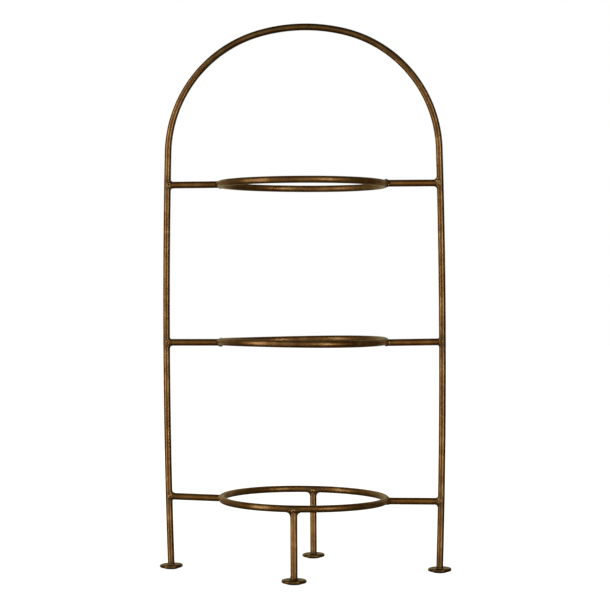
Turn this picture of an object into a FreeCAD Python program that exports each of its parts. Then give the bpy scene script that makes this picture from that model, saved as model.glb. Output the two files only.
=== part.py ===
"""Tiered cake stand: a welded round-rod frame that carries three plates, one above the other.

Frame of the model: millimetres, +Z up, origin on the floor at the middle of the stand.
The arch stands in the XZ plane, and -Y is the front.
"""
import FreeCAD, Part
import math
import os

import Sketcher

# Driving dimensions, in millimetres and degrees.
SIZES = {
    "rod_dia": 6.35,           # every rod is quarter-inch stock
    "belly_half_width": 127.0,  # arch centreline at its widest, from the middle plane
    "belly_height": 211.5,     # height where the uprights stand furthest apart
    "side_radius": 6650.0,     # the uprights bow outwards very slightly
    "spring_height": 384.0,    # where the uprights turn into the shoulders
    "shoulder_radius": 114.5,
    "crown_radius": 155.0,
    "ring_radius": 75.3,       # hoop centreline
    "top_tier": 353.3,         # heights of the hoop centrelines
    "middle_tier": 209.7,
    "bottom_tier": 65.85,
    "top_lean": 0.25,          # hand-welded hoops sit a little lower on the right
    "middle_lean": 0.0,
    "bottom_lean": 0.7,
    "top_bar_step": 0.3,       # how far each tier's crossbars sit above the hoop's own line
    "middle_bar_step": -0.75,
    "bottom_bar_step": -0.55,
    "foot_dia": 21.6,
    "foot_height": 3.7,
    "foot_base_dia": 12.4,
    "foot_base_height": 0.9,
    "foot_rim": 1.8,           # thickness of the rounded rim
    "cope_depth": 0.6,         # how far a bar's end is notched over its neighbour
    "weld_reach": 3.3,         # how far a bead runs along the bar
    "weld_spread": 5.2,        # half the bead's length along the rod it sits on
    "weld_side": 3.6,          # half the bead's width across that rod
    "foot_weld_leg": 1.5,
}

TIERS = ("top", "middle", "bottom")
SIDES = {"left": -1, "right": 1}
ENDS = {"front": -1, "rear": 1}

doc = FreeCAD.newDocument("tiered_cake_stand")
nodes = []


def make_sheet():
    sheet = doc.addObject("Spreadsheet::Sheet", "Sizes")
    for row, (alias, value) in enumerate(SIZES.items(), 1):
        sheet.set(f"A{row}", alias)
        sheet.set(f"B{row}", str(value))
        sheet.setAlias(f"B{row}", alias)
    doc.recompute()


def bind(obj, **expressions):
    """Bind properties of obj to the sheet; a double underscore stands for a dot."""
    for path, expression in expressions.items():
        obj.setExpression(path.replace("__", "."), expression)


def node(obj, label):
    obj.Label = label
    nodes.append(obj)
    return obj


def upright_x(height):
    """Expression for the arch centreline's distance from the middle plane at a height."""
    return (f"Sizes.belly_half_width - Sizes.side_radius + "
            f"sqrt(Sizes.side_radius ^ 2 - (({height}) - Sizes.belly_height) ^ 2)")


def origin_plane(body, role):
    return next(f for f in body.Origin.OriginFeatures if f.Role == role)


def sketch_on(body, role, name):
    sketch = body.newObject("Sketcher::SketchObject", name)
    sketch.AttachmentSupport = (origin_plane(body, role), [""])
    sketch.MapMode = "FlatFace"
    return sketch


def drive(sketch, name, expression, *constraint):
    """Add a dimension with its starting value as the last argument and bind it."""
    index = sketch.addConstraint(Sketcher.Constraint(*constraint))
    sketch.renameConstraint(index, name)
    sketch.setExpression(f"Constraints.{name}", expression)


def arc(sketch, x, y, radius, start, end):
    circle = Part.Circle(FreeCAD.Vector(x, y, 0), FreeCAD.Vector(0, 0, 1), radius)
    return sketch.addGeometry(Part.ArcOfCircle(circle, start, end))


def make_arch_frame():
    """One rod swept along two bowed uprights, two shoulders and a crown, all tangent arcs."""
    half, belly = SIZES["belly_half_width"], SIZES["belly_height"]
    side_r, shoulder_r, crown_r = (SIZES[k] for k in ("side_radius", "shoulder_radius", "crown_radius"))
    foot_turn = math.asin((belly - SIZES["foot_height"]) / side_r)
    spring_turn = math.asin((SIZES["spring_height"] - belly) / side_r)
    side_x = half - side_r
    # A shoulder's centre lies on the side arc's radius through the spring point.
    shoulder_x = side_x + (side_r - shoulder_r) * math.cos(spring_turn)
    shoulder_z = belly + (side_r - shoulder_r) * math.sin(spring_turn)
    # The crown's centre lies on the middle plane, crown_r - shoulder_r from the shoulder's centre.
    crown_turn = math.acos(shoulder_x / (crown_r - shoulder_r))
    crown_z = shoulder_z - (crown_r - shoulder_r) * math.sin(crown_turn)

    body = doc.addObject("PartDesign::Body", "ArchFrame")
    path = sketch_on(body, "XZ_Plane", "ArchPath")
    right = arc(path, side_x, belly, side_r, -foot_turn, spring_turn)
    right_shoulder = arc(path, shoulder_x, shoulder_z, shoulder_r, spring_turn, crown_turn)
    crown = arc(path, 0, crown_z, crown_r, crown_turn, math.pi - crown_turn)
    left_shoulder = arc(path, -shoulder_x, shoulder_z, shoulder_r,
                        math.pi - crown_turn, math.pi - spring_turn)
    left = arc(path, -side_x, belly, side_r, math.pi - spring_turn, math.pi + foot_turn)

    start, end, centre, y_axis = 1, 2, 3, -2
    chain = (right, right_shoulder, crown, left_shoulder, left)
    for first, second in zip(chain, chain[1:]):
        path.addConstraint(Sketcher.Constraint("Tangent", first, end, second, start))
    path.addConstraint(Sketcher.Constraint("Symmetric", right, start, left, end, y_axis))
    path.addConstraint(Sketcher.Constraint("Symmetric", right, end, left, start, y_axis))
    path.addConstraint(Sketcher.Constraint("Equal", right, left))
    path.addConstraint(Sketcher.Constraint("Equal", right_shoulder, left_shoulder))
    drive(path, "side_radius", "Sizes.side_radius", "Radius", right, side_r)
    drive(path, "shoulder_radius", "Sizes.shoulder_radius", "Radius", right_shoulder, shoulder_r)
    drive(path, "crown_radius", "Sizes.crown_radius", "Radius", crown, crown_r)
    drive(path, "side_offset", "Sizes.side_radius - Sizes.belly_half_width",
          "DistanceX", right, centre, -1, 1, -side_x)
    drive(path, "belly_height", "Sizes.belly_height", "DistanceY", -1, 1, right, centre, belly)
    drive(path, "foot_height", "Sizes.foot_height", "DistanceY", -1, 1, right, start, SIZES["foot_height"])
    drive(path, "spring_height", "Sizes.spring_height",
          "DistanceY", -1, 1, right, end, SIZES["spring_height"])

    section = sketch_on(body, "XY_Plane", "ArchSection")
    bind(section, AttachmentOffset__Base__z="Sizes.foot_height")
    foot_x = side_x + side_r * math.cos(foot_turn)
    rod_r = SIZES["rod_dia"] / 2
    circle = Part.Circle(FreeCAD.Vector(foot_x, 0, 0), FreeCAD.Vector(0, 0, 1), rod_r)
    rod = section.addGeometry(circle)
    section.addConstraint(Sketcher.Constraint("PointOnObject", rod, centre, -1))
    drive(section, "rod_radius", "Sizes.rod_dia / 2", "Radius", rod, rod_r)
    drive(section, "foot_x", upright_x("Sizes.foot_height"), "DistanceX", -1, 1, rod, centre, foot_x)

    pipe = body.newObject("PartDesign::AdditivePipe", "ArchPipe")
    pipe.Profile = section
    pipe.Spine = (path, [f"Edge{i + 1}" for i in range(len(chain))])
    return node(body, "arch_frame")


def make_ring(tier):
    """A hoop of rod, leaning a little about the Y axis; its seam lies between two joints."""
    body = doc.addObject("PartDesign::Body", f"Ring_{tier}")
    section = sketch_on(body, "XZ_Plane", f"RingSection_{tier}")
    seam_turn = FreeCAD.Rotation(FreeCAD.Vector(0, 1, 0), 45)
    section.AttachmentOffset = FreeCAD.Placement(FreeCAD.Vector(), seam_turn)
    ring_r, rod_r = SIZES["ring_radius"], SIZES["rod_dia"] / 2
    rod = section.addGeometry(Part.Circle(FreeCAD.Vector(ring_r, 0, 0), FreeCAD.Vector(0, 0, 1), rod_r))
    centre = 3
    section.addConstraint(Sketcher.Constraint("PointOnObject", rod, centre, -1))
    drive(section, "rod_radius", "Sizes.rod_dia / 2", "Radius", rod, rod_r)
    drive(section, "ring_radius", "Sizes.ring_radius", "DistanceX", -1, 1, rod, centre, ring_r)
    revolve(body, section)
    body.Placement = FreeCAD.Placement(FreeCAD.Vector(), FreeCAD.Rotation(FreeCAD.Vector(0, 1, 0), 1))
    bind(body, Placement__Base__z=f"Sizes.{tier}_tier",
         Placement__Rotation__Angle=f"Sizes.{tier}_lean * 1 deg")
    return node(body, f"{tier}_ring")


def revolve(body, profile):
    """A full turn of a profile about its own vertical axis."""
    turn = body.newObject("PartDesign::Revolution", f"{body.Name}_turn")
    turn.Profile = profile
    turn.ReferenceAxis = (profile, ["V_Axis"])
    turn.Angle = 360


def cut(base, *tools):
    """Cut each tool from base, one after the other."""
    for tool in tools:
        result = doc.addObject("Part::Cut", f"{base.Name}_cut")
        result.Base = base
        result.Tool = tool
        base = result
    return base


def make_rod(name, axis, **expressions):
    """A straight rod whose start is its Placement's base and whose axis is +X or +Z."""
    rod = doc.addObject("Part::Cylinder", name)
    if axis == "X":
        rod.Placement = FreeCAD.Placement(FreeCAD.Vector(), FreeCAD.Rotation(FreeCAD.Vector(0, 1, 0), 90))
    bind(rod, Radius="Sizes.rod_dia / 2", **expressions)
    return rod


def make_bead(name, reach_axis, spread_axis, **expressions):
    """An ellipsoid of weld metal, to be cut back to the rods that it joins."""
    bead = doc.addObject("Part::Ellipsoid", name)
    bead.Angle1, bead.Angle2, bead.Angle3 = -90, 90, 360
    # A quarter turn keeps the bead's seam off the rods' own seams.
    bead.Placement = FreeCAD.Placement(FreeCAD.Vector(), FreeCAD.Rotation(FreeCAD.Vector(0, 0, 1), 90))
    extent = {"X": "Sizes.weld_side", "Y": "Sizes.weld_side", "Z": "Sizes.weld_side"}
    extent[reach_axis] = "Sizes.weld_reach"
    extent[spread_axis] = "Sizes.weld_spread"
    bind(bead, Radius1=extent["Z"], Radius2=extent["Y"], Radius3=extent["X"], **expressions)
    return bead


def make_crossbar(tier, side, arch, ring):
    """A short bar from hoop to upright, coped at both ends, with a bead at each."""
    sign = SIDES[side]
    height = (f"(Sizes.{tier}_tier + Sizes.{tier}_bar_step"
              f" - {sign} * Sizes.ring_radius * sin(Sizes.{tier}_lean * 1 deg))")
    inner = "(Sizes.ring_radius + Sizes.rod_dia / 2 - Sizes.cope_depth)"
    outer = f"({upright_x(height)} - Sizes.rod_dia / 2 + Sizes.cope_depth)"
    bar = make_rod(f"Bar_{tier}_{side}", "X", Height=f"{outer} - {inner}",
                   Placement__Base__x=inner if sign > 0 else f"-{outer}",
                   Placement__Base__z=height)
    crossbar = node(cut(bar, arch, ring), f"{tier}_{side}_crossbar")

    bead = make_bead(f"UprightBead_{tier}_{side}", "X", "Z", Placement__Base__z=height,
                     Placement__Base__x=f"{sign} * ({upright_x(height)} - Sizes.rod_dia / 2)")
    node(cut(bead, arch, crossbar), f"{tier}_{side}_upright_weld")

    bead = make_bead(f"RingBead_{tier}_{side}", "X", "Y", Placement__Base__z=height,
                     Placement__Base__x=f"{sign} * (Sizes.ring_radius + Sizes.rod_dia / 2)")
    node(cut(bead, ring, crossbar), f"{tier}_{side}_ring_weld")


def make_leg(end, ring):
    """A short leg under the bottom hoop, coped to it, with its bead."""
    y = f"{ENDS[end]} * Sizes.ring_radius"
    top = "(Sizes.bottom_tier - Sizes.rod_dia / 2 + Sizes.cope_depth)"
    rod = make_rod(f"Leg_{end}", "Z", Height=f"{top} - Sizes.foot_height",
                   Placement__Base__y=y, Placement__Base__z="Sizes.foot_height")
    leg = node(cut(rod, ring), f"{end}_leg")
    bead = make_bead(f"LegBead_{end}", "Z", "X", Placement__Base__y=y,
                     Placement__Base__z="Sizes.bottom_tier - Sizes.rod_dia / 2")
    node(cut(bead, ring, leg), f"{end}_leg_weld")
    return leg


def make_foot(name, rod, x, y):
    """A button foot: a small flat base under a wide disc with a rounded rim, and its bead."""
    body = doc.addObject("PartDesign::Body", f"Foot_{name}")
    profile = sketch_on(body, "XZ_Plane", f"FootProfile_{name}")
    disc_r, base_r, rim = SIZES["foot_dia"] / 2, SIZES["foot_base_dia"] / 2, SIZES["foot_rim"]
    top, step = SIZES["foot_height"], SIZES["foot_base_height"]
    rim_x, rim_z = disc_r - rim / 2, top - rim
    corners = [(0, 0), (base_r, 0), (base_r, step), (rim_x, rim_z), (rim_x, top), (0, top)]
    points = [FreeCAD.Vector(cx, cz, 0) for cx, cz in corners]
    floor = profile.addGeometry(Part.LineSegment(points[0], points[1]))
    wall = profile.addGeometry(Part.LineSegment(points[1], points[2]))
    flare = profile.addGeometry(Part.LineSegment(points[2], points[3]))
    edge = arc(profile, rim_x, top - rim / 2, rim / 2, -math.pi / 2, math.pi / 2)
    lid = profile.addGeometry(Part.LineSegment(points[4], points[5]))
    axis = profile.addGeometry(Part.LineSegment(points[5], points[0]))

    start, end, centre = 1, 2, 3
    outline = (floor, wall, flare, edge, lid, axis)
    for first, second in zip(outline, outline[1:] + outline[:1]):
        profile.addConstraint(Sketcher.Constraint("Coincident", first, end, second, start))
    profile.addConstraint(Sketcher.Constraint("Coincident", floor, start, -1, 1))
    profile.addConstraint(Sketcher.Constraint("Horizontal", floor))
    profile.addConstraint(Sketcher.Constraint("Vertical", wall))
    profile.addConstraint(Sketcher.Constraint("Horizontal", lid))
    profile.addConstraint(Sketcher.Constraint("Vertical", axis))
    profile.addConstraint(Sketcher.Constraint("Vertical", edge, start, edge, centre))
    profile.addConstraint(Sketcher.Constraint("Vertical", edge, centre, edge, end))
    drive(profile, "base_radius", "Sizes.foot_base_dia / 2", "DistanceX", floor, start, floor, end, base_r)
    drive(profile, "base_height", "Sizes.foot_base_height", "DistanceY", wall, start, wall, end, step)
    drive(profile, "height", "Sizes.foot_height", "DistanceY", -1, 1, edge, end, top)
    drive(profile, "rim_radius", "Sizes.foot_rim / 2", "Radius", edge, rim / 2)
    drive(profile, "rim_centre", "(Sizes.foot_dia - Sizes.foot_rim) / 2",
          "DistanceX", -1, 1, edge, centre, rim_x)

    revolve(body, profile)
    bind(body, Placement__Base__x=x, Placement__Base__y=y)
    node(body, f"{name}_foot")

    bead = doc.addObject("Part::Cone", f"FootBead_{name}")
    bind(bead, Radius1="Sizes.rod_dia / 2 + Sizes.foot_weld_leg", Radius2="Sizes.rod_dia / 2 + 0.1",
         Height="Sizes.foot_weld_leg", Placement__Base__x=x, Placement__Base__y=y,
         Placement__Base__z="Sizes.foot_height")
    node(cut(bead, rod), f"{name}_foot_weld")


def build():
    make_sheet()
    arch = make_arch_frame()
    rings = {tier: make_ring(tier) for tier in TIERS}
    for tier in TIERS:
        for side in SIDES:
            make_crossbar(tier, side, arch, rings[tier])
    for side, sign in SIDES.items():
        make_foot(side, arch, f"{sign} * ({upright_x('Sizes.foot_height')})", "0")
    for end, sign in ENDS.items():
        leg = make_leg(end, rings["bottom"])
        make_foot(end, leg, "0", f"{sign} * Sizes.ring_radius")
    doc.recompute()


def check_and_export():
    for obj in doc.Objects:
        if {"Invalid", "Error"} & set(obj.State):
            raise RuntimeError(f"{obj.Label} failed: {obj.State}")
    for obj in nodes:
        shape = obj.Shape
        if shape.isNull() or not shape.isValid() or len(shape.Solids) != 1:
            raise RuntimeError(f"{obj.Label} isn't one valid solid")
    os.makedirs("parts", exist_ok=True)
    for obj in nodes:
        obj.Shape.exportStep(f"parts/{obj.Label}.step")
    print(f"{len(nodes)} nodes")


build()
check_and_export()
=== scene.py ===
"""Tiered cake stand in antique bronze: rods, hoops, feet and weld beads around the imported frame."""
import functools
import itertools
import math

import bpy
import numpy as np
from mathutils import Euler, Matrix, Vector, noise


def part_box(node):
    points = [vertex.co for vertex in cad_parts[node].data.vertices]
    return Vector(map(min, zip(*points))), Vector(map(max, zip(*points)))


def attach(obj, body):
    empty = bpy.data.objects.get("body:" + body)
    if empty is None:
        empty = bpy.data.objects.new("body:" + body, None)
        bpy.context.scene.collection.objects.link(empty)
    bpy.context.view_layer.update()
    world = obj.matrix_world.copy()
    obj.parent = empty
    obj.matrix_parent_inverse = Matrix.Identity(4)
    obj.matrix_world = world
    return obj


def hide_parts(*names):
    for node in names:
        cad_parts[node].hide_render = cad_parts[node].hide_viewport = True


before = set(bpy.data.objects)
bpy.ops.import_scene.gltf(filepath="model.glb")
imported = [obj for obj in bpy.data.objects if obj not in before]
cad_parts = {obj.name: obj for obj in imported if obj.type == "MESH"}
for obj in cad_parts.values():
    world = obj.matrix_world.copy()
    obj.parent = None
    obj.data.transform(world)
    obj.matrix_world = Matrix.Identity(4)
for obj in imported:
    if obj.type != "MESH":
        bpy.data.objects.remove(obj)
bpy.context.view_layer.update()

MM = 0.001
TIERS = ("top", "middle", "bottom")
SIDES = {"left": -1, "right": 1}      # which way along X
ENDS = {"front": -1, "rear": 1}       # which way along Y
X, Y, Z = np.eye(3)

# The arch's tangent arcs, as in the design.
BELLY_HALF_WIDTH = 127.0 * MM
BELLY_HEIGHT = 211.5 * MM
SIDE_RADIUS = 6650.0 * MM
SPRING_HEIGHT = 384.0 * MM
SHOULDER_RADIUS = 114.5 * MM
CROWN_RADIUS = 155.0 * MM

# Hand-made hoops aren't quite flat: the warp lifts one diagonal and lowers the other.
HOOP_WARP = {"top": -0.35 * MM, "middle": 1.2 * MM, "bottom": -0.2 * MM}

RING_STEP = 1.6 * MM       # spacing of a rod's cross sections
ROUND = 40                 # points round a rod
WELD_ROUND = 72            # points round a bead
WELD_PROFILE = 14          # points across a bead's visible face
FOOT_ROUND = 96            # points round a foot
WELD_SINK = 0.6 * MM       # how far a bead's hidden inside lies under the rods' surface
FOOT_WELD_SINK = 0.35 * MM
BAR_BITE = 1.6 * MM        # how far a bar's end runs into its neighbour
FOOT_BITE = 0.3 * MM       # how far a leg's end runs into its foot

# Wear on a rod in two layers: its depth, the size of its lumps and the seed of their noise.
WEAR = ((0.030 * MM, 13 * MM, 0.0), (0.010 * MM, 4 * MM, 5.0))

# Painted shade on the crown, which is drawn darker than the uprights: its least darkening, the height
# where that begins, and how much higher it is in full.
CROWN_PAINTED_SHADE = 0.42
CROWN_PAINTED_SHADE_FROM = 0.40
CROWN_PAINTED_SHADE_OVER = 0.07
GRIME_START = 1.5          # how far from a joint a rod's grime starts to fade, in rod radii
GRIME_REACH = 5.0 * MM     # how far it spreads along the rod past that

WELD_WRAP = math.radians(104)     # how far round the rod a bead's flanks run
WELD_RAGGED = 0.22         # how much a bead's legs vary round it
FLANK_SWELL = 0.22         # millimetres that a bead's flanks bulge more than its other sides
SWELL_VARIES = 0.6         # how much a bead's bulge varies round it
WELD_CRUST = 0.13 * MM     # height and size of the fine lumps on a bead
WELD_LUMP = 1.1 * MM
FOOT_WELD_RAGGED = 0.25
FOOT_WELD_CRUST = 0.10 * MM
FOOT_WELD_LUMP = 1.0 * MM

# A bead's droplet: its height, its half width round the bar in degrees, and its middle and half
# width across the bead's face.
DROP_HEIGHT = 0.45 * MM
DROP_TURN = 16
DROP_MIDDLE = 0.35
DROP_WIDTH = 0.17

FOOT_OUT_OF_ROUND = 0.003  # how far a foot's rim strays each way, as a part of its radius
FOOT_WOBBLE = 0.09 * MM    # how far a foot's rim wanders up and down

# Grime, and the painted shade that shares its scale, runs from 0, clean, to 1. Patches of noise raise
# and lower it.
ROD_GRIME = 0.75           # at a rod's joints
ROD_PATCHES = 0.35
WELD_GRIME = 0.70          # along a bead's edges
WELD_PATCHES = 0.35
FOOT_WELD_GRIME = 0.85
FOOT_WELD_PATCHES = 0.3
UNDER_PAINTED_SHADE = 0.75         # painted shade under a foot's disc
DISH_GRIME = 0.55          # in the dish on top of a foot
DISH_GRIME_AT_ROD = 0.4    # added to that against the rod
RIM_GRIME = 0.12
MIDDLE_DIRT_AND_SHADE = 0.9         # in the middle of a foot's top, as dirt, and of its base, as painted shade
FOOT_PATCHES = 0.25
ROD_PATCH_SIZE = 3 * MM
WELD_PATCH_SIZE = 1.6 * MM
FOOT_PATCH_SIZE = 2.2 * MM
DISH_REACH = 2.2 * MM      # how far the dish's grime spreads from the rod


# ---------------------------------------------------------------- measurements from the frame

@functools.cache
def box_of(node):
    low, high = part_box(node)
    return np.array(low), np.array(high)


def box_size(node):
    low, high = box_of(node)
    return high - low


def box_centre(node):
    low, high = box_of(node)
    return (high + low) / 2


ROD_R = box_size("front_leg")[0] / 2
RING_R = box_size("middle_ring")[1] / 2 - ROD_R
FOOT_TOP = box_size("left_foot")[2]
FOOT_R = box_size("left_foot")[0] / 2


def lean_of(tier):
    """How far a hoop leans about the Y axis, right side down, from the height of its box."""
    rise = box_size(f"{tier}_ring")[2] / 2 - ROD_R
    return math.asin(max(rise, 0.0) / RING_R)


def upright_x(height):
    return BELLY_HALF_WIDTH - SIDE_RADIUS + math.sqrt(SIDE_RADIUS ** 2 - (height - BELLY_HEIGHT) ** 2)


def hoop_point(tier, angle, out=0.0, up=0.0):
    """A point near a hoop's centreline: angle round it, distance outwards and upwards from it."""
    c, s = math.cos(angle), math.sin(angle)
    local = np.array([(RING_R + out) * c, (RING_R + out) * s, up + HOOP_WARP[tier] * c * s])
    lean = lean_of(tier)
    turned = np.array([local[0] * math.cos(lean) + local[2] * math.sin(lean),
                       local[1],
                       local[2] * math.cos(lean) - local[0] * math.sin(lean)])
    return turned + Z * box_centre(f"{tier}_ring")[2]


# ---------------------------------------------------------------- mesh helpers

def lumps(point, scale, seed=0.0):
    """Smooth noise between -1 and 1 at a point, with bumps about scale metres across."""
    return noise.noise(Vector(point) / scale + Vector((seed, seed * 1.7, -seed)))


def build_mesh(name, points, faces, grime_and_shade):
    """A smooth mesh object; grime is 0 to 1 per vertex, 1 where dirt and dark patina gather, and on some
    pieces it carries painted shade.
    """
    points = np.asarray(points)
    quads = np.array([(*f, f[-1])[:4] for f in faces])
    a, b, c, d = (points - points.mean(0))[quads.T]
    signed_volume = np.sum(a * (np.cross(b, c) + np.cross(c, d)))
    if signed_volume < 0:   # built in a mirrored place, so its faces point inwards
        faces = [tuple(reversed(f)) for f in faces]
    mesh = bpy.data.meshes.new(name)
    mesh.from_pydata([tuple(p) for p in points], [], faces)
    layer = mesh.attributes.new("grime_and_shade", "FLOAT", "POINT")
    layer.data.foreach_set("value", np.asarray(grime_and_shade, dtype=np.float32))
    mesh.shade_smooth()
    mesh.update()
    piece = bpy.data.objects.new(name, mesh)
    bpy.context.scene.collection.objects.link(piece)
    return piece


def grid_faces(rows, columns, rows_closed):
    """Quads of a grid whose columns close on themselves."""
    faces = []
    for i in range(rows if rows_closed else rows - 1):
        a, b = i * columns, (i + 1) % rows * columns
        for j in range(columns):
            k = (j + 1) % columns
            faces.append((a + j, a + k, b + k, b + j))
    return faces


def sweep(name, path, binormal, closed, joints, dark=0.0):
    """A rod along a path, worn a little uneven; joints are the points that grime gathers at.

    dark is painted shade, given as the least darkening anywhere on the rod, one value or one for each of
    its points.
    """
    path = np.asarray(path)
    if closed:
        tangent = np.roll(path, -1, 0) - np.roll(path, 1, 0)
    else:
        tangent = np.gradient(path, axis=0)
    tangent /= np.linalg.norm(tangent, axis=1, keepdims=True)
    side = np.cross(np.broadcast_to(binormal, tangent.shape), tangent)
    side /= np.linalg.norm(side, axis=1, keepdims=True)
    across = np.cross(tangent, side)
    angle = np.linspace(0, 2 * math.pi, ROUND, endpoint=False)
    rim = np.cos(angle)[None, :, None] * side[:, None] + np.sin(angle)[None, :, None] * across[:, None]
    points = (path[:, None] + ROD_R * rim).reshape(-1, 3)
    outward = rim.reshape(-1, 3)
    # Wear only takes metal away, so the rod never grows past its drawn size.
    depth = np.array([sum(deep * (1 + lumps(p, size, seed)) for deep, size, seed in WEAR)
                      for p in points])
    points = points - outward * depth[:, None]
    faces = grid_faces(len(path), ROUND, closed)
    if not closed:
        last = (len(path) - 1) * ROUND
        for centre, first, flip in ((path[0], 0, True), (path[-1], last, False)):
            tip = len(points)
            points = np.vstack([points, centre])
            for j in range(ROUND):
                a, b = first + j, first + (j + 1) % ROUND
                faces.append((b, a, tip) if flip else (a, b, tip))
    grime_and_shade = grime_near(points, joints)
    # dark lays painted shade over the rod, as the least darkening at each point.
    grime_and_shade[:len(path) * ROUND] = np.maximum(grime_and_shade[:len(path) * ROUND], dark)
    return build_mesh(name, points, faces, grime_and_shade)


def grime_near(points, joints):
    """Most at a joint, fading over a few millimetres, broken up by noise."""
    nearest = np.min([np.linalg.norm(points - np.asarray(j), axis=1) for j in joints], axis=0)
    fade = np.exp(-np.maximum(nearest - GRIME_START * ROD_R, 0) / GRIME_REACH)
    patches = np.array([ROD_GRIME + ROD_PATCHES * lumps(p, ROD_PATCH_SIZE, 9.0) for p in points])
    return np.clip(fade * patches, 0, 1)


def arc_points(centre_x, centre_z, radius, start, end):
    """Points along an arc in the XZ plane, evenly spaced, without its last point."""
    count = max(2, round(radius * abs(end - start) / RING_STEP))
    turns = np.linspace(start, end, count, endpoint=False)
    return [np.array([centre_x + radius * math.cos(t), 0.0, centre_z + radius * math.sin(t)])
            for t in turns]


# ---------------------------------------------------------------- the rods

def make_arch(joints):
    """One rod from the right foot over the crown to the left foot."""
    foot_turn = math.asin((BELLY_HEIGHT - FOOT_TOP) / SIDE_RADIUS)
    spring_turn = math.asin((SPRING_HEIGHT - BELLY_HEIGHT) / SIDE_RADIUS)
    side_x = BELLY_HALF_WIDTH - SIDE_RADIUS
    reach = SIDE_RADIUS - SHOULDER_RADIUS
    shoulder_x = side_x + reach * math.cos(spring_turn)
    shoulder_z = BELLY_HEIGHT + reach * math.sin(spring_turn)
    crown_turn = math.acos(shoulder_x / (CROWN_RADIUS - SHOULDER_RADIUS))
    crown_z = shoulder_z - (CROWN_RADIUS - SHOULDER_RADIUS) * math.sin(crown_turn)
    right = arc_points(side_x, BELLY_HEIGHT, SIDE_RADIUS, -foot_turn, spring_turn)
    right += arc_points(shoulder_x, shoulder_z, SHOULDER_RADIUS, spring_turn, crown_turn)
    right += arc_points(0.0, crown_z, CROWN_RADIUS, crown_turn, math.pi / 2)
    crown = np.array([0.0, 0.0, crown_z + CROWN_RADIUS])
    left = [p * np.array([-1, 1, 1]) for p in reversed(right)]
    path = np.array(right + [crown] + left)
    # Painted shade over the crown, fading in above a given height.
    dark = CROWN_PAINTED_SHADE * np.clip((path[:, 2] - CROWN_PAINTED_SHADE_FROM) / CROWN_PAINTED_SHADE_OVER, 0, 1)
    return sweep("arch_frame", path, Y, False, joints, np.repeat(dark, ROUND))


def make_hoop(tier, joints):
    count = round(2 * math.pi * RING_R / RING_STEP)
    path = [hoop_point(tier, 2 * math.pi * i / count) for i in range(count)]
    return sweep(f"{tier}_ring", path, Z, True, joints)


def make_straight(node, start, end, joints, dark=0.0):
    count = max(8, round(np.linalg.norm(end - start) / RING_STEP))
    path = [start + (end - start) * i / (count - 1) for i in range(count)]
    return sweep(node, path, Y, False, joints, dark)


# ---------------------------------------------------------------- the weld beads

def make_weld(name, place, bar_reach, rod_reach, bulge, droplet, seed):
    """A bead in the corner between a bar's end and the rod that it meets.

    place(u, v, w) puts a point in the model: u along the bar from the rod's centreline, v along
    the rod and w across both. bar_reach and rod_reach give the bead's legs on the +v side, the
    -v side and the flanks. bulge is how far the bead swells past a hollow fillet. droplet is the
    turn round the bar, in degrees, at which a drop of the filler stands proud.
    """
    rows = [[] for _ in range(WELD_PROFILE + 3)]
    for k in range(WELD_ROUND):
        turn = 2 * math.pi * k / WELD_ROUND
        c, s = math.cos(turn), math.sin(turn)
        ragged = 1 + WELD_RAGGED * lumps((c, s, 0), 0.45, seed)
        bar_leg, rod_leg = (ragged * MM * ((r[0] if c > 0 else r[1]) * c * c + r[2] * s * s)
                            for r in (bar_reach, rod_reach))
        wrap = s * WELD_WRAP
        corner = np.array([ROD_R * abs(c), ROD_R * c, ROD_R * s])
        on_bar = corner + X * bar_leg
        on_rod = np.array([ROD_R * math.cos(wrap), (ROD_R + rod_leg) * c, ROD_R * math.sin(wrap)])
        bar_out = np.array([0, c, s])
        rod_out = np.array([abs(c), 0, s])
        both = (bar_out + rod_out) / np.linalg.norm(bar_out + rod_out)
        off = (math.degrees(turn) - droplet + 180) % 360 - 180
        uneven = 1 + SWELL_VARIES * lumps((c, s, 3), 0.5, seed + 4)
        swell = (bulge + FLANK_SWELL * s * s) * MM * uneven
        control = corner + both * 2 * swell
        for i in range(WELD_PROFILE):
            t = i / (WELD_PROFILE - 1)
            p = (1 - t) ** 2 * on_bar + 2 * t * (1 - t) * control + t * t * on_rod
            crust = WELD_CRUST * lumps(p, WELD_LUMP, seed) * math.sin(math.pi * t)
            spread = (off / DROP_TURN) ** 2 + ((t - DROP_MIDDLE) / DROP_WIDTH) ** 2
            rows[i].append(p + both * (crust + DROP_HEIGHT * math.exp(-spread)))
        wrap_out = np.array([math.cos(wrap), 0, math.sin(wrap)])
        rows[-3].append(on_rod - wrap_out * WELD_SINK)
        rows[-2].append(corner - (bar_out + rod_out) * WELD_SINK)
        rows[-1].append(on_bar - bar_out * WELD_SINK)
    points = np.array([place(*p) for row in rows for p in row])
    faces = grid_faces(len(rows), WELD_ROUND, True)
    # The bead's ridge is rubbed bright, and dirt lies along its edges.
    ridge = [math.sin(math.pi * min(i / (WELD_PROFILE - 1), 1)) for i in range(len(rows))]
    patches = np.array([lumps(p, WELD_PATCH_SIZE, seed + 7) for p in points])
    grime_and_shade = WELD_GRIME - WELD_GRIME * np.repeat(ridge, WELD_ROUND) + WELD_PATCHES * patches
    return build_mesh(name, points, faces, np.clip(grime_and_shade, 0, 1))


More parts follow.
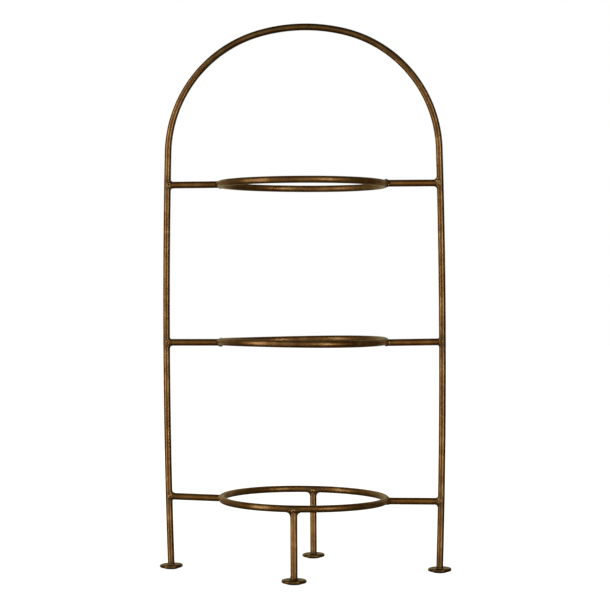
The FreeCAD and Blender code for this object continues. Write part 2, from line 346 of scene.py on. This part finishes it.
def make_foot_weld(name, centre, heights, spreads, bulge, seed):
    """A small fillet round a rod where it stands on its foot.

    heights up the rod and spreads over the foot are given to the right, rear, left and front.
    """
    rows = [[] for _ in range(WELD_PROFILE + 3)]
    sink = FOOT_WELD_SINK
    for k in range(WELD_ROUND):
        turn = 2 * math.pi * k / WELD_ROUND
        c, s = math.cos(turn), math.sin(turn)
        out = np.array([c, s, 0])
        quarter = [max(c, 0) ** 2, max(s, 0) ** 2, max(-c, 0) ** 2, max(-s, 0) ** 2]
        ragged = 1 + FOOT_WELD_RAGGED * lumps((c, s, 0), 0.5, seed)
        high = ragged * MM * sum(q * v for q, v in zip(quarter, heights))
        wide = ragged * MM * sum(q * v for q, v in zip(quarter, spreads))
        corner = centre + out * ROD_R + Z * (FOOT_TOP - sink)
        on_rod = corner + Z * (high + sink)
        on_disc = corner + out * wide
        control = corner + Z * sink + (out + Z) * bulge * MM * (1 + lumps((c, s, 3), 0.5, seed))
        for i in range(WELD_PROFILE):
            t = i / (WELD_PROFILE - 1)
            p = (1 - t) ** 2 * on_rod + 2 * t * (1 - t) * control + t * t * on_disc
            crust = FOOT_WELD_CRUST * lumps(p, FOOT_WELD_LUMP, seed) * math.sin(math.pi * t)
            rows[i].append(p + (out + Z) * crust)
        rows[-3].append(on_disc - Z * sink)
        rows[-2].append(corner - out * sink - Z * sink)
        rows[-1].append(on_rod - out * sink)
    points = np.array([p for row in rows for p in row])
    faces = grid_faces(len(rows), WELD_ROUND, True)
    patches = np.array([lumps(p, WELD_PATCH_SIZE, seed + 7) for p in points])
    grime_and_shade = FOOT_WELD_GRIME + FOOT_WELD_PATCHES * patches
    return build_mesh(name, points, faces, np.clip(grime_and_shade, 0, 1))


# ---------------------------------------------------------------- the feet

def foot_outline():
    """Half outline of a button foot, from the middle of its base to the middle of its top."""
    base_r, base_edge, base_top = 6.2 * MM, 0.35 * MM, 0.8 * MM
    rim, rim_rise = 1.45 * MM, 0.40 * MM
    rim_x, rim_z = FOOT_R - rim, FOOT_TOP - rim + rim_rise
    outline = [(r * base_r, 0.0) for r in (0.0, 0.3, 0.6, 0.85)]
    outline += [(base_r - base_edge + base_edge * math.sin(a), base_edge - base_edge * math.cos(a))
                for a in np.radians((0, 25, 50, 75, 90))]
    outline += [(base_r + 0.02 * MM, base_top), (base_r + 0.15 * MM, base_top + 0.10 * MM)]
    flare_from = np.array([base_r + 0.5 * MM, base_top + 0.16 * MM])
    flare = np.array([rim_x, rim_z - rim]) - flare_from
    outline += [tuple(flare_from + flare * t) for t in (0, 0.25, 0.5, 0.75, 0.92)]
    outline += [(rim_x + rim * math.sin(a), rim_z - rim * math.cos(a))
                for a in np.radians(np.arange(0, 181, 15))]
    # The top is dished a little inside its rolled rim.
    dish_r, dish_edge, dish = rim_x - 0.4 * MM, FOOT_TOP + 0.38 * MM, 0.60 * MM
    outline += [(dish_r * t, dish_edge - dish * math.sin(math.pi * t) ** 0.8)
                for t in (0.96, 0.9, 0.8, 0.7, 0.6, 0.5, 0.4, 0.25, 0.0)]
    return outline


def make_foot(end, centre, slope, wide, seed):
    """A pressed button foot; its disc slopes in x over a base that stays flat, and wide stretches it."""
    outline = foot_outline()
    points, grime_and_shade = [], []
    for radius, height in outline[1:-1]:
        for k in range(FOOT_ROUND):
            turn = 2 * math.pi * k / FOOT_ROUND
            c, s = math.cos(turn), math.sin(turn)
            edge = radius / FOOT_R
            r = radius * (1 - FOOT_OUT_OF_ROUND * (1 + lumps((c, s, seed), 0.6, seed)) * edge)
            p = np.array([r * c * wide, r * s, height])
            wobble = FOOT_WOBBLE * lumps((p[0], p[1], seed), 5 * MM, seed) * edge
            p[2] += (slope * p[0] + wobble) * min(height / FOOT_TOP, 1)
            points.append(centre + p)
            # Dirt lies in the dish, most of it against the rod; the darkening under the disc is painted
            # shade.
            dished = height > FOOT_TOP * 0.55 and radius < FOOT_R - 1.2 * MM
            near_rod = math.exp(-max(radius - ROD_R, 0) / DISH_REACH)
            above = (DISH_GRIME + DISH_GRIME_AT_ROD * near_rod) if dished else RIM_GRIME
            under = UNDER_PAINTED_SHADE if height < FOOT_TOP * 0.5 else 0.0
            grime_and_shade.append(max(under, above))
    rows = len(outline) - 2
    faces = grid_faces(rows, FOOT_ROUND, False)
    last = (rows - 1) * FOOT_ROUND
    for height, first, flip in ((outline[0][1], 0, True), (outline[-1][1], last, False)):
        middle = len(points)
        points.append(centre + Z * height)
        grime_and_shade.append(MIDDLE_DIRT_AND_SHADE)
        for j in range(FOOT_ROUND):
            a, b = first + j, first + (j + 1) % FOOT_ROUND
            faces.append((b, a, middle) if flip else (a, b, middle))
    patches = np.array([lumps(p, FOOT_PATCH_SIZE, seed) for p in points])
    grime_and_shade = np.array(grime_and_shade) + FOOT_PATCHES * patches
    return build_mesh(f"{end}_foot", points, faces, np.clip(grime_and_shade, 0, 1))


# ---------------------------------------------------------------- materials

# Noise scales: lumps are about 1/scale metres across.
CLOUDS = 75.0
MOTTLE = 300.0
FLECKS = 1300.0
DENTS = 210.0

# How a value drives the colour: its range, then the strength or brightness at each end of it.
TONES = (0.30, 0.50, 0.72)            # the clouds' values at brown, russet and brass
RUBBED = (0.44, 0.72, 0.0, 0.10)      # mottle to brass
STAINED = (0.46, 0.30, 0.0, 0.12)     # mottle to patina
FLECKED = (0.3, 0.7, 0.96, 1.04)      # flecks to brightness
DIRT_AND_SHADE = (0.0, 1.0, 0.0, 0.72)         # grime and painted shade to darkened patina
BURIED_AND_SHADED_PATINA = 0.38                  # how bright the patina is where dirt covers it and where shade is painted

GLOSS_RANGE = (0.3, 0.7)              # the clouds' values at the limits of roughness
DIRT_DULLS = 0.10                     # roughness that full grime adds
DENT_STRENGTH = 0.4
DENT_DEPTH = 0.035 * MM
GRIT_DEPTH = 0.02 * MM
LACQUER_ROUGHNESS = 0.22
LACQUER_IOR = 1.5

# Linear colours of the finish, the limits of its roughness, the strength of its fine bump and the weight
# of its clear coat. The hoop, bar and leg colours are lighter copies of the rod's bronze, painted light
# for the extra light that those pieces catch.
FINISHES = {
    "rod": {"brown": (0.20, 0.086, 0.019), "russet": (0.33, 0.146, 0.035), "brass": (0.50, 0.28, 0.105),
            "patina": (0.24, 0.150, 0.055), "rough": (0.27, 0.28), "crust": 0.04, "lacquer": 0.6},
    "hoop": {"brown": (0.26, 0.116, 0.028), "russet": (0.39, 0.180, 0.049), "brass": (0.53, 0.31, 0.118),
             "patina": (0.26, 0.166, 0.062), "rough": (0.41, 0.44), "crust": 0.06, "lacquer": 0.6},
    "bar": {"brown": (0.34, 0.138, 0.028), "russet": (0.50, 0.215, 0.048), "brass": (0.62, 0.34, 0.115),
            "patina": (0.30, 0.180, 0.064), "rough": (0.30, 0.32), "crust": 0.05, "lacquer": 0.25},
    "leg": {"brown": (0.31, 0.144, 0.036), "russet": (0.49, 0.232, 0.064), "brass": (0.66, 0.38, 0.145),
            "patina": (0.32, 0.200, 0.076), "rough": (0.30, 0.32), "crust": 0.05, "lacquer": 0.6},
    "weld": {"brown": (0.24, 0.110, 0.030), "russet": (0.40, 0.200, 0.062), "brass": (0.66, 0.44, 0.21),
             "patina": (0.32, 0.175, 0.058), "rough": (0.18, 0.34), "crust": 0.25, "lacquer": 0.6},
    "foot": {"brown": (0.14, 0.070, 0.018), "russet": (0.25, 0.125, 0.036), "brass": (0.46, 0.28, 0.11),
             "patina": (0.18, 0.125, 0.050), "rough": (0.24, 0.38), "crust": 0.2, "lacquer": 0.25},
}


def ramp(nodes, stops):
    node = nodes.new("ShaderNodeValToRGB")
    elements = node.color_ramp.elements
    while len(elements) < len(stops):
        elements.new(0.5)
    for element, (position, colour) in zip(elements, stops):
        element.position = position
        element.color = (*colour, 1.0)
    return node


def mix(nodes, links, kind, factor, first, second):
    node = nodes.new("ShaderNodeMix")
    node.data_type = "RGBA"
    node.blend_type = kind
    if isinstance(factor, float):
        node.inputs["Factor"].default_value = factor
    else:
        links.new(factor, node.inputs["Factor"])
    for socket, value in ((node.inputs[6], first), (node.inputs[7], second)):
        if isinstance(value, tuple):
            socket.default_value = (*value, 1.0)
        else:
            links.new(value, socket)
    return node.outputs[2]


def noise_value(nodes, links, place, scale, detail, roughness=0.55, distortion=0.0):
    node = nodes.new("ShaderNodeTexNoise")
    links.new(place, node.inputs["Vector"])
    node.inputs["Scale"].default_value = scale
    node.inputs["Detail"].default_value = detail
    node.inputs["Roughness"].default_value = roughness
    node.inputs["Distortion"].default_value = distortion
    return node.outputs["Fac"]


def range_value(nodes, links, value, low, high, out_low, out_high):
    node = nodes.new("ShaderNodeMapRange")
    links.new(value, node.inputs["Value"])
    limits = {"From Min": low, "From Max": high, "To Min": out_low, "To Max": out_high}
    for socket, number in limits.items():
        node.inputs[socket].default_value = number
    return node.outputs["Result"]


def bronze_colour(nodes, links, clouds, mottle, flecks, grime_and_shade, brown, russet, brass, patina):
    """Mottled browns with brassy rubbed spots and stains of patina, dark where grime gathers and where
    shade is painted.
    """
    tone = ramp(nodes, list(zip(TONES, (brown, russet, brass))))
    links.new(clouds, tone.inputs["Fac"])
    rubbed = range_value(nodes, links, mottle, *RUBBED)
    colour = mix(nodes, links, "MIX", rubbed, tone.outputs["Color"], brass)
    stain = range_value(nodes, links, mottle, *STAINED)
    colour = mix(nodes, links, "MIX", stain, colour, patina)
    fine = range_value(nodes, links, flecks, *FLECKED)
    grey = nodes.new("ShaderNodeCombineColor")
    for channel in ("Red", "Green", "Blue"):
        links.new(fine, grey.inputs[channel])
    colour = mix(nodes, links, "MULTIPLY", 1.0, colour, grey.outputs["Color"])
    dirt_and_shade = range_value(nodes, links, grime_and_shade, *DIRT_AND_SHADE)
    return mix(nodes, links, "MIX", dirt_and_shade, colour, tuple(c * BURIED_AND_SHADED_PATINA for c in patina))


def bronze_roughness(nodes, links, clouds, grime_and_shade, rough):
    """Uneven gloss, and duller where grime gathers."""
    gloss = range_value(nodes, links, clouds, *GLOSS_RANGE, *rough)
    dull = nodes.new("ShaderNodeMath")
    dull.operation = "MULTIPLY_ADD"
    links.new(grime_and_shade, dull.inputs[0])
    dull.inputs[1].default_value = DIRT_DULLS
    links.new(gloss, dull.inputs[2])
    return dull.outputs["Value"]


def bronze_bump(nodes, links, place, flecks, crust):
    """Shallow dents, with a fine crust over them."""
    dents = noise_value(nodes, links, place, DENTS, 0.5)
    hammer = nodes.new("ShaderNodeBump")
    hammer.inputs["Strength"].default_value = DENT_STRENGTH
    hammer.inputs["Distance"].default_value = DENT_DEPTH
    links.new(dents, hammer.inputs["Height"])
    grit = nodes.new("ShaderNodeBump")
    grit.inputs["Strength"].default_value = crust
    grit.inputs["Distance"].default_value = GRIT_DEPTH
    links.new(flecks, grit.inputs["Height"])
    links.new(hammer.outputs["Normal"], grit.inputs["Normal"])
    return grit.outputs["Normal"]


def antique_bronze(name, brown, russet, brass, patina, rough, crust, lacquer):
    """Bronze-finished steel under a thin lacquer."""
    material = bpy.data.materials.new(name)
    material.use_nodes = True
    nodes, links = material.node_tree.nodes, material.node_tree.links
    nodes.clear()
    output = nodes.new("ShaderNodeOutputMaterial")
    shader = nodes.new("ShaderNodeBsdfPrincipled")
    links.new(shader.outputs["BSDF"], output.inputs["Surface"])
    place = nodes.new("ShaderNodeTexCoord").outputs["Object"]
    attribute = nodes.new("ShaderNodeAttribute")
    attribute.attribute_name = "grime_and_shade"
    grime_and_shade = attribute.outputs["Fac"]
    clouds = noise_value(nodes, links, place, CLOUDS, 2.0, 0.5, 0.6)
    mottle = noise_value(nodes, links, place, MOTTLE, 1.5, 0.5, 0.4)
    flecks = noise_value(nodes, links, place, FLECKS, 1.0)
    colour = bronze_colour(nodes, links, clouds, mottle, flecks, grime_and_shade, brown, russet, brass, patina)
    links.new(colour, shader.inputs["Base Color"])
    links.new(bronze_roughness(nodes, links, clouds, grime_and_shade, rough), shader.inputs["Roughness"])
    links.new(bronze_bump(nodes, links, place, flecks, crust), shader.inputs["Normal"])
    shader.inputs["Metallic"].default_value = 1.0
    shader.inputs["Coat Weight"].default_value = lacquer
    shader.inputs["Coat Roughness"].default_value = LACQUER_ROUGHNESS
    shader.inputs["Coat IOR"].default_value = LACQUER_IOR
    return material


# ---------------------------------------------------------------- stage, light and camera

# Angles in radians and lengths in metres; the lens is in millimetres.
CAMERA_AZIMUTH = math.radians(6.76)
CAMERA_DISTANCE = 1.598    # in front of the stand's axis
CAMERA_ASIDE = 1.80 * MM
CAMERA_HEIGHT = 0.2593
CAMERA_DIP = 0.0102
CAMERA_ROLL = 0.0044
CAMERA_LENS = 103.14

WHITE = (1.0, 1.0, 1.0)
WARM = (1.0, 0.96, 0.82)
KHAKI = (1.0, 0.87, 0.46)
ROOM = (1.0, 0.90, 0.60)
ROOM_STRENGTH = 0.07
FLOOR_GREY = (0.93, 0.93, 0.93)
FLOOR_GLOW = 1.08          # keeps the pale floor as bright as the wall behind it
FLOOR_HALF = 6.0
FLOOR_DROP = 0.1 * MM      # how far the floor lies under the feet

# Softboxes: azimuth in degrees from the camera's side, distance, height, (width, height) in
# metres, brightness and colour.
LIGHTS = {
    "left_softbox": (-60, 0.9, 0.36, (0.24, 1.3), 2.5, WARM),
    "right_softbox": (33, 1.7, 0.42, (0.32, 1.7), 3.7, WARM),
    "front_fill": (-12, 2.3, 0.30, (1.9, 3.6), 0.31, WARM),
    "back_card": (186, 1.2, 0.35, (1.2, 1.2), 0.34, KHAKI),
    "left_rear_card": (-130, 1.4, 0.40, (0.8, 1.4), 0.25, KHAKI),
    "right_rear_card": (140, 1.4, 0.40, (0.4, 1.4), 0.30, KHAKI),
}


def glowing(name, colour, emission):
    material = bpy.data.materials.new(name)
    material.use_nodes = True
    shader = material.node_tree.nodes["Principled BSDF"]
    shader.inputs["Base Color"].default_value = (*colour, 1.0)
    shader.inputs["Roughness"].default_value = 0.9
    shader.inputs["Emission Color"].default_value = (*colour, 1.0)
    shader.inputs["Emission Strength"].default_value = emission
    return material


def make_floor():
    half = FLOOR_HALF
    mesh = bpy.data.meshes.new("floor")
    corners = [(-half, -half, 0), (half, -half, 0), (half, half, 0), (-half, half, 0)]
    mesh.from_pydata(corners, [], [(0, 1, 2, 3)])
    mesh.materials.append(glowing("floor", FLOOR_GREY, FLOOR_GLOW))
    floor = bpy.data.objects.new("floor", mesh)
    bpy.context.scene.collection.objects.link(floor)
    floor.visible_glossy = False
    floor.location.z = -FLOOR_DROP


def make_world():
    """White to the camera, and a dim warm studio to everything else."""
    world = bpy.data.worlds.new("studio")
    bpy.context.scene.world = world
    world.use_nodes = True
    nodes, links = world.node_tree.nodes, world.node_tree.links
    nodes.clear()
    output = nodes.new("ShaderNodeOutputWorld")
    choose = nodes.new("ShaderNodeMixShader")
    room, white = nodes.new("ShaderNodeBackground"), nodes.new("ShaderNodeBackground")
    room.inputs["Color"].default_value = (*ROOM, 1.0)
    room.inputs["Strength"].default_value = ROOM_STRENGTH
    white.inputs["Color"].default_value = (*WHITE, 1.0)
    white.inputs["Strength"].default_value = 1.0
    links.new(nodes.new("ShaderNodeLightPath").outputs["Is Camera Ray"], choose.inputs[0])
    links.new(room.outputs[0], choose.inputs[1])
    links.new(white.outputs[0], choose.inputs[2])
    links.new(choose.outputs[0], output.inputs["Surface"])


def softbox(name, azimuth, distance, height, size, brightness, colour):
    """A vertical softbox that faces the stand's axis, equally bright whatever its size."""
    light = bpy.data.lights.new(name, "AREA")
    light.shape = "RECTANGLE"
    light.size, light.size_y = size
    light.energy = brightness * size[0] * size[1] * math.pi
    light.color = colour
    lamp = bpy.data.objects.new(name, light)
    turn = CAMERA_AZIMUTH + math.radians(azimuth)
    lamp.location = (distance * math.sin(turn), -distance * math.cos(turn), height)
    lamp.rotation_euler = (math.radians(90), 0, turn)
    lamp.visible_camera = False
    bpy.context.scene.collection.objects.link(lamp)


def make_camera():
    camera = bpy.data.cameras.new("camera")
    camera.lens = CAMERA_LENS
    camera.sensor_width = 36.0
    camera.clip_end = 50.0
    shot = bpy.data.objects.new("camera", camera)
    c, s = math.cos(CAMERA_AZIMUTH), math.sin(CAMERA_AZIMUTH)
    shot.location = (CAMERA_ASIDE * c + CAMERA_DISTANCE * s, CAMERA_ASIDE * s - CAMERA_DISTANCE * c,
                     CAMERA_HEIGHT)
    shot.rotation_euler = Euler((math.radians(90) - CAMERA_DIP, CAMERA_ROLL, CAMERA_AZIMUTH))
    bpy.context.scene.collection.objects.link(shot)
    bpy.context.scene.camera = shot


def light_stand():
    make_world()
    make_floor()
    for name, light in LIGHTS.items():
        softbox(name, *light)


# ---------------------------------------------------------------- where the joints are

def bar_height(tier, side):
    return box_centre(f"{tier}_{side}_crossbar")[2]


def upright_joint(tier, side):
    height = bar_height(tier, side)
    return np.array([SIDES[side] * upright_x(height), 0, height])


def hoop_joint(tier, side):
    return np.array([SIDES[side] * RING_R, 0, bar_height(tier, side)])


def leg_joint(end):
    return hoop_point("bottom", ENDS[end] * math.pi / 2)


def foot_base(end):
    centre = box_centre(f"{end}_foot")
    return np.array([centre[0], centre[1], 0.0])


def foot_joint(end):
    return foot_base(end) + Z * FOOT_TOP


def upright_place(side, height):
    """Place function for a joint on an upright: u towards the hoop, v up it, w to the rear."""
    sign = SIDES[side]
    turn = -sign * math.asin((height - BELLY_HEIGHT) / SIDE_RADIUS)
    along = np.array([math.sin(turn), 0, math.cos(turn)])
    inward = np.array([-sign * math.cos(turn), 0, sign * math.sin(turn)])
    centre = np.array([sign * upright_x(height), 0, height])
    return lambda u, v, w: centre + inward * u + along * v + Y * w


def hoop_place(tier, side, height):
    """Place function for a crossbar's joint on a hoop: u outwards, v round the hoop.

    w is up on the right side and down on the left.
    """
    sign = SIDES[side]
    middle = 0.0 if sign > 0 else math.pi
    step = height - hoop_point(tier, middle)[2]
    return lambda u, v, w: hoop_point(tier, middle + v / RING_R, u, w * sign + step)


def leg_place(end):
    """Place function for a leg's joint under the bottom hoop: u down, v round it, w inwards."""
    middle = ENDS[end] * math.pi / 2
    return lambda u, v, w: hoop_point("bottom", middle + v / RING_R, -w, -u)


# ---------------------------------------------------------------- putting it together

# Crossbars: how far the end at the hoop sits low, how far the end at the upright sits high, and the
# painted shade that darkens the bar, as its least darkening.
BARS = {
    ("top", "left"): (0.0, 0.0, 0.40),
    ("top", "right"): (-0.1 * MM, -0.1 * MM, 0.0),
    ("middle", "left"): (0.0, 0.0, 0.42),
    ("middle", "right"): (0.4 * MM, 0.3 * MM, 0.2),
    ("bottom", "left"): (0.75 * MM, 0.6 * MM, 0.45),
    ("bottom", "right"): (0.0, 0.15 * MM, 0.15),
}
# Bead legs in millimetres: (+v side, -v side, flanks), first on the bar, then on the rod, then the
# bulge. The droplets are turns round the bar in degrees.
UPRIGHT_BEADS = {
    ("top", "left"): ((2.0, 1.8, 1.6), (1.9, 1.8, 0.8), 0.22),
    ("top", "right"): ((2.9, 2.2, 1.8), (3.0, 2.0, 0.9), 0.30),
    ("middle", "left"): ((1.0, 2.3, 1.4), (0.8, 2.4, 0.8), 0.20),
    ("middle", "right"): ((0.9, 1.3, 1.3), (0.7, 1.1, 0.6), 0.16),
    ("bottom", "left"): ((2.1, 0.9, 1.4), (2.0, 0.8, 0.8), 0.22),
    ("bottom", "right"): ((1.3, 2.4, 1.5), (1.2, 2.4, 0.8), 0.24),
}
UPRIGHT_DROPLET = 270
HOOP_BEADS = {
    ("top", "left"): ((1.8, 1.8, 1.7), (1.8, 2.0, 1.3), 0.50),
    ("top", "right"): ((1.9, 1.7, 2.2), (1.8, 1.6, 1.2), 0.55),
    ("middle", "left"): ((2.0, 2.0, 2.2), (2.0, 1.9, 1.3), 0.60),
    ("middle", "right"): ((1.3, 1.5, 1.2), (1.5, 1.4, 0.7), 0.16),
    ("bottom", "left"): ((1.6, 1.8, 1.3), (1.7, 1.8, 0.8), 0.18),
    ("bottom", "right"): ((1.9, 1.7, 1.8), (1.7, 1.8, 1.0), 0.40),
}
HOOP_DROPLETS = {"left": 330, "right": 210}
LEG_BEADS = {
    "front": ((3.5, 3.7, 2.0), (3.6, 3.5, 0.9), 0.24),
    "rear": ((3.2, 3.4, 2.2), (3.3, 3.4, 1.0), 0.26),
}
LEG_DROPLETS = {"front": 270, "rear": 90}
# Foot fillets in millimetres: heights, spreads and bulge, as make_foot_weld takes them.
FOOT_BEADS = {
    "left": ((1.0, 0.9, 0.8, 1.0), (1.0, 0.9, 0.8, 1.0), 0.12),
    "right": ((0.8, 0.9, 1.0, 1.0), (0.8, 0.9, 0.9, 1.1), 0.12),
    "front": ((1.8, 2.0, 3.4, 2.4), (1.3, 1.6, 2.3, 1.8), 0.50),
    "rear": ((1.0, 0.9, 1.2, 1.0), (0.9, 0.9, 1.1, 0.9), 0.15),
}
# The slope of each foot's disc in x, and its stretch in x.
FOOT_DISCS = {
    "left": (0.030, 1.0),
    "right": (0.020, 1.0),
    "front": (-0.004, 1.04),
    "rear": (0.010, 1.0),
}


def finish_piece(piece, node, material):
    """Gives a piece its material and puts it in the place of its node."""
    piece.data.materials.append(material)
    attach(piece, "root")
    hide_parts(node)


def add_arch(finishes):
    joints = [upright_joint(tier, side) for tier in TIERS for side in SIDES]
    joints += [foot_joint(side) for side in SIDES]
    finish_piece(make_arch(joints), "arch_frame", finishes["rod"])


def add_hoop(tier, finishes):
    joints = [hoop_joint(tier, side) for side in SIDES]
    if tier == "bottom":
        joints += [leg_joint(end) for end in ENDS]
    finish_piece(make_hoop(tier, joints), f"{tier}_ring", finishes["hoop"])


def add_crossbar(tier, side, finishes, seed):
    """A crossbar with its bead at each end."""
    height = bar_height(tier, side)
    drop, rise, dark = BARS[tier, side]
    inner = X * SIDES[side] * (RING_R + ROD_R - BAR_BITE) + Z * (height - drop)
    outer = X * SIDES[side] * (upright_x(height) - ROD_R + BAR_BITE) + Z * (height + rise)
    joints = [upright_joint(tier, side), hoop_joint(tier, side)]
    node = f"{tier}_{side}_crossbar"
    finish_piece(make_straight(node, inner, outer, joints, dark), node, finishes["bar"])

    node = f"{tier}_{side}_upright_weld"
    bead = make_weld(node, upright_place(side, height + rise), *UPRIGHT_BEADS[tier, side],
                     UPRIGHT_DROPLET, seed)
    finish_piece(bead, node, finishes["weld"])

    node = f"{tier}_{side}_ring_weld"
    bead = make_weld(node, hoop_place(tier, side, height - drop), *HOOP_BEADS[tier, side],
                     HOOP_DROPLETS[side], seed + 11)
    finish_piece(bead, node, finishes["weld"])


def add_leg(end, finishes, seed):
    """A leg with the bead that holds it to the bottom hoop."""
    bottom = foot_base(end) + Z * (FOOT_TOP - FOOT_BITE)
    top = leg_joint(end) - Z * (ROD_R - BAR_BITE)
    node = f"{end}_leg"
    leg = make_straight(node, bottom, top, [leg_joint(end), foot_joint(end)])
    finish_piece(leg, node, finishes["leg"])

    node = f"{end}_leg_weld"
    bead = make_weld(node, leg_place(end), *LEG_BEADS[end], LEG_DROPLETS[end], seed)
    finish_piece(bead, node, finishes["weld"])


def add_foot(end, finishes, seed):
    """A foot with the fillet round the rod that stands on it."""
    foot = make_foot(end, foot_base(end), *FOOT_DISCS[end], seed)
    finish_piece(foot, f"{end}_foot", finishes["foot"])

    node = f"{end}_foot_weld"
    bead = make_foot_weld(node, foot_base(end), *FOOT_BEADS[end], seed + 5)
    finish_piece(bead, node, finishes["weld"])


def build_stand():
    finishes = {name: antique_bronze(name, **look) for name, look in FINISHES.items()}
    seeds = itertools.count(1)
    add_arch(finishes)
    for tier in TIERS:
        add_hoop(tier, finishes)
    for tier, side in BARS:
        add_crossbar(tier, side, finishes, next(seeds))
    for end in ENDS:
        add_leg(end, finishes, next(seeds))
    for end in FOOT_BEADS:
        add_foot(end, finishes, next(seeds))


make_camera()
light_stand()
build_stand()
bpy.context.scene.view_settings.view_transform = "Standard"
